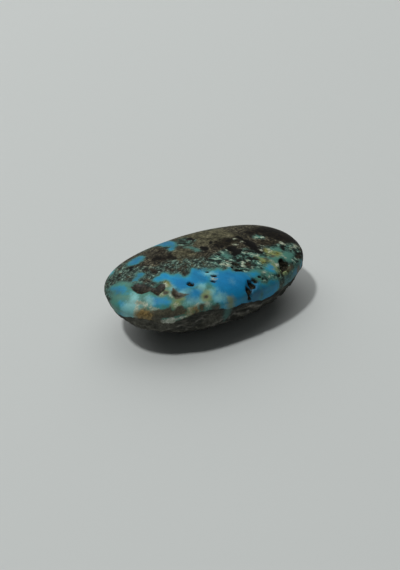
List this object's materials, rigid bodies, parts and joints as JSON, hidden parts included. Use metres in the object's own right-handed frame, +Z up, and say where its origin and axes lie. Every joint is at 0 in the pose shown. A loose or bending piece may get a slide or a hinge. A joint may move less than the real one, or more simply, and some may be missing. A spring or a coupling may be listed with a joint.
{
  "type": "turquoise nugget",
  "caption": "Loose turquoise nugget in dark host rock: long low oval, tumbled smooth on top, rough rock underneath, lying on a small flat.",
  "frame": {"origin": "on the table, at the middle of the stone's bounding box", "axes": "+X along the stone's length, +Y across it away from the darker front edge, +Z up"},
  "size_m": [0.0382, 0.0216, 0.0112],
  "materials": {
    "turquoise_in_matrix": "satin tumbled polish on the dome, matt rough rock underneath"
  },
  "bodies": {
    "root": {"nugget": "turquoise_in_matrix"}
  },
  "joints": []
}
